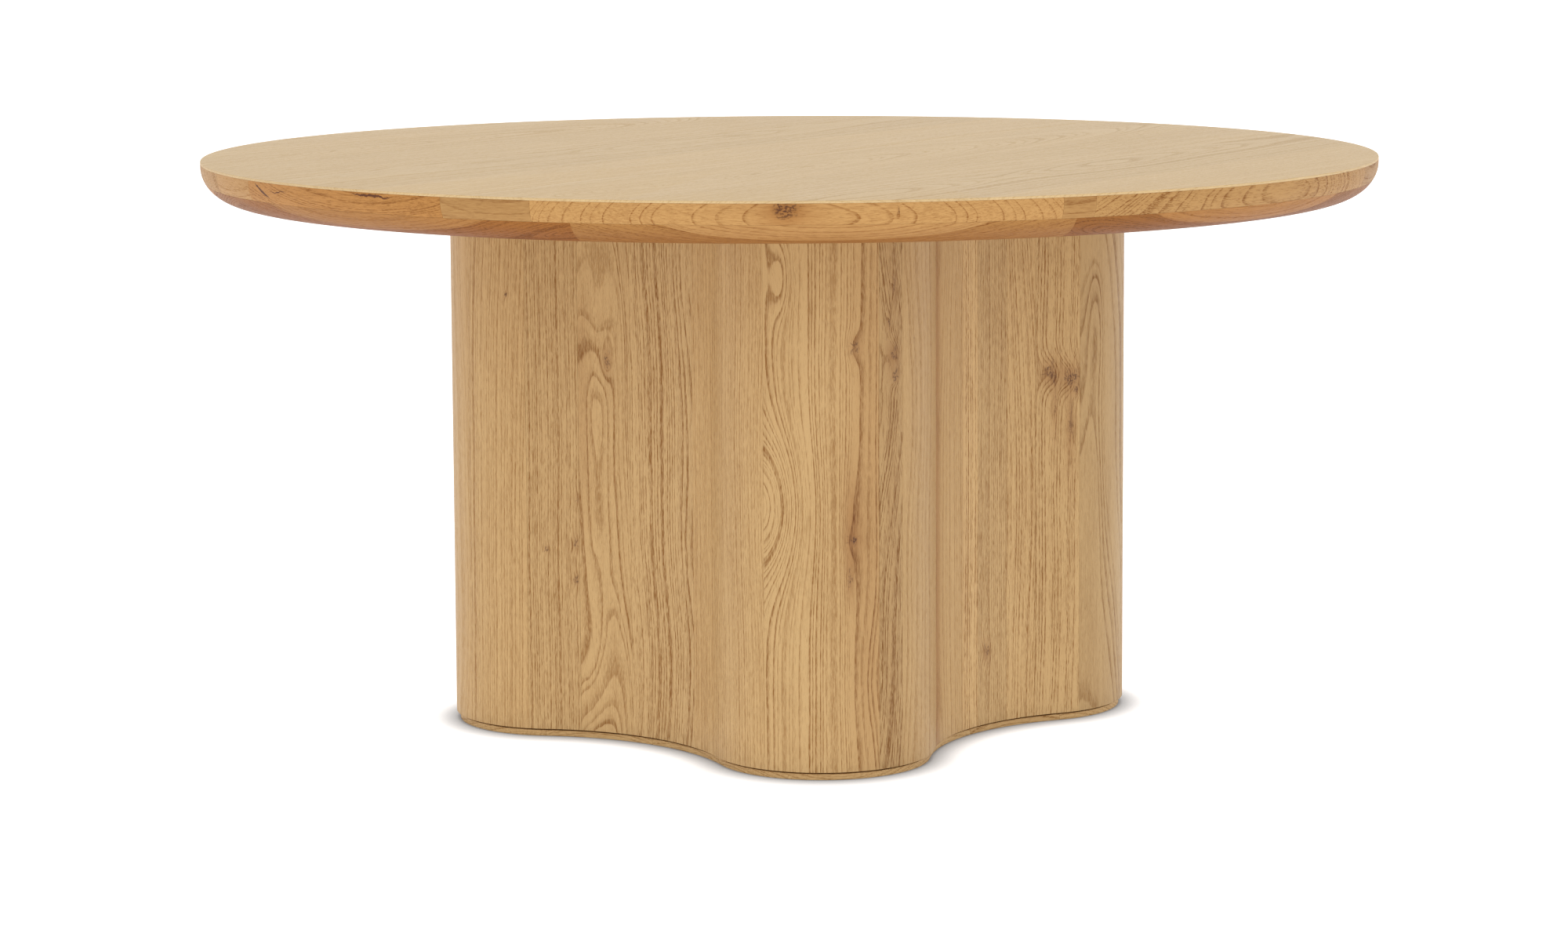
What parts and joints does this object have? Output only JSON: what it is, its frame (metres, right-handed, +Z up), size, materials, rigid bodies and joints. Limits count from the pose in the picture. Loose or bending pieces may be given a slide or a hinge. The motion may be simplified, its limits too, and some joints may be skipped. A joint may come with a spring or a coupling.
{
  "type": "round pedestal table",
  "caption": "Round oak dining table with a rounded-under built-up edge on a hollow four-lobed pedestal of upright boards and a thin recessed plinth.",
  "frame": {"origin": "on the floor, under the centre of the round top", "axes": "+Z up; -Y towards the viewer, through the tip of the front lobe; lobes along +X, -X, +Y and -Y"},
  "size_m": [1.524, 1.524, 0.737],
  "materials": {
    "oak_face": "matt lacquered oak, pale",
    "oak_edge": "matt lacquered solid oak, warm",
    "oak_pedestal": "matt lacquered solid oak",
    "oak_plinth": "matt lacquered solid oak",
    "oak_underside": "sealed oak veneer",
    "core_board": "raw lumber core",
    "birch_ply": "sealed birch plywood",
    "zinc_steel": "zinc plated",
    "glide_steel": "zinc plated, nylon sole"
  },
  "bodies": {
    "table": {"top_face": "oak_face", "core_panel": "core_board", "under_panel": "oak_underside", "rim_upper_segment_1": "oak_edge", "rim_upper_segment_2": "oak_edge", "rim_upper_segment_3": "oak_edge", "rim_upper_segment_4": "oak_edge", "rim_upper_segment_5": "oak_edge", "rim_upper_segment_6": "oak_edge", "rim_upper_segment_7": "oak_edge", "rim_upper_segment_8": "oak_edge", "rim_upper_blocks": "oak_edge", "rim_lower_board_1": "oak_edge", "rim_lower_board_2": "oak_edge", "rim_lower_board_3": "oak_edge", "rim_lower_board_4": "oak_edge", "rim_lower_board_5": "oak_edge", "rim_lower_board_6": "oak_edge", "rim_lower_board_7": "oak_edge", "rim_lower_board_8": "oak_edge", "rim_lower_strips": "oak_edge", "stave_01": "oak_pedestal", "stave_02": "oak_pedestal", "stave_03": "oak_pedestal", "stave_04": "oak_pedestal", "stave_05": "oak_pedestal", "stave_06": "oak_pedestal", "stave_07": "oak_pedestal", "stave_08": "oak_pedestal", "stave_09": "oak_pedestal", "stave_10": "oak_pedestal", "stave_11": "oak_pedestal", "stave_12": "oak_pedestal", "stave_13": "oak_pedestal", "stave_14": "oak_pedestal", "stave_15": "oak_pedestal", "stave_16": "oak_pedestal", "stave_17": "oak_pedestal", "stave_18": "oak_pedestal", "stave_19": "oak_pedestal", "stave_20": "oak_pedestal", "stave_21": "oak_pedestal", "stave_22": "oak_pedestal", "stave_23": "oak_pedestal", "stave_24": "oak_pedestal", "stave_25": "oak_pedestal", "stave_26": "oak_pedestal", "stave_27": "oak_pedestal", "stave_28": "oak_pedestal", "stave_29": "oak_pedestal", "top_plate": "birch_ply", "base_panel": "birch_ply", "plinth": "oak_plinth", "top_bolts": "zinc_steel", "top_inserts": "zinc_steel", "glide_sockets": "zinc_steel"},
    "glide_1_body": {"glide_1": "glide_steel"},
    "glide_2_body": {"glide_2": "glide_steel"},
    "glide_3_body": {"glide_3": "glide_steel"},
    "glide_4_body": {"glide_4": "glide_steel"}
  },
  "joints": [
    {"name": "glide_1_height", "type": "slide", "parent": "table", "child": "glide_1_body", "axis": [0, 0, -1], "range_m": [0, 0.01]},
    {"name": "glide_2_height", "type": "slide", "parent": "table", "child": "glide_2_body", "axis": [0, 0, -1], "range_m": [0, 0.01]},
    {"name": "glide_3_height", "type": "slide", "parent": "table", "child": "glide_3_body", "axis": [0, 0, -1], "range_m": [0, 0.01]},
    {"name": "glide_4_height", "type": "slide", "parent": "table", "child": "glide_4_body", "axis": [0, 0, -1], "range_m": [0, 0.01]}
  ]
}
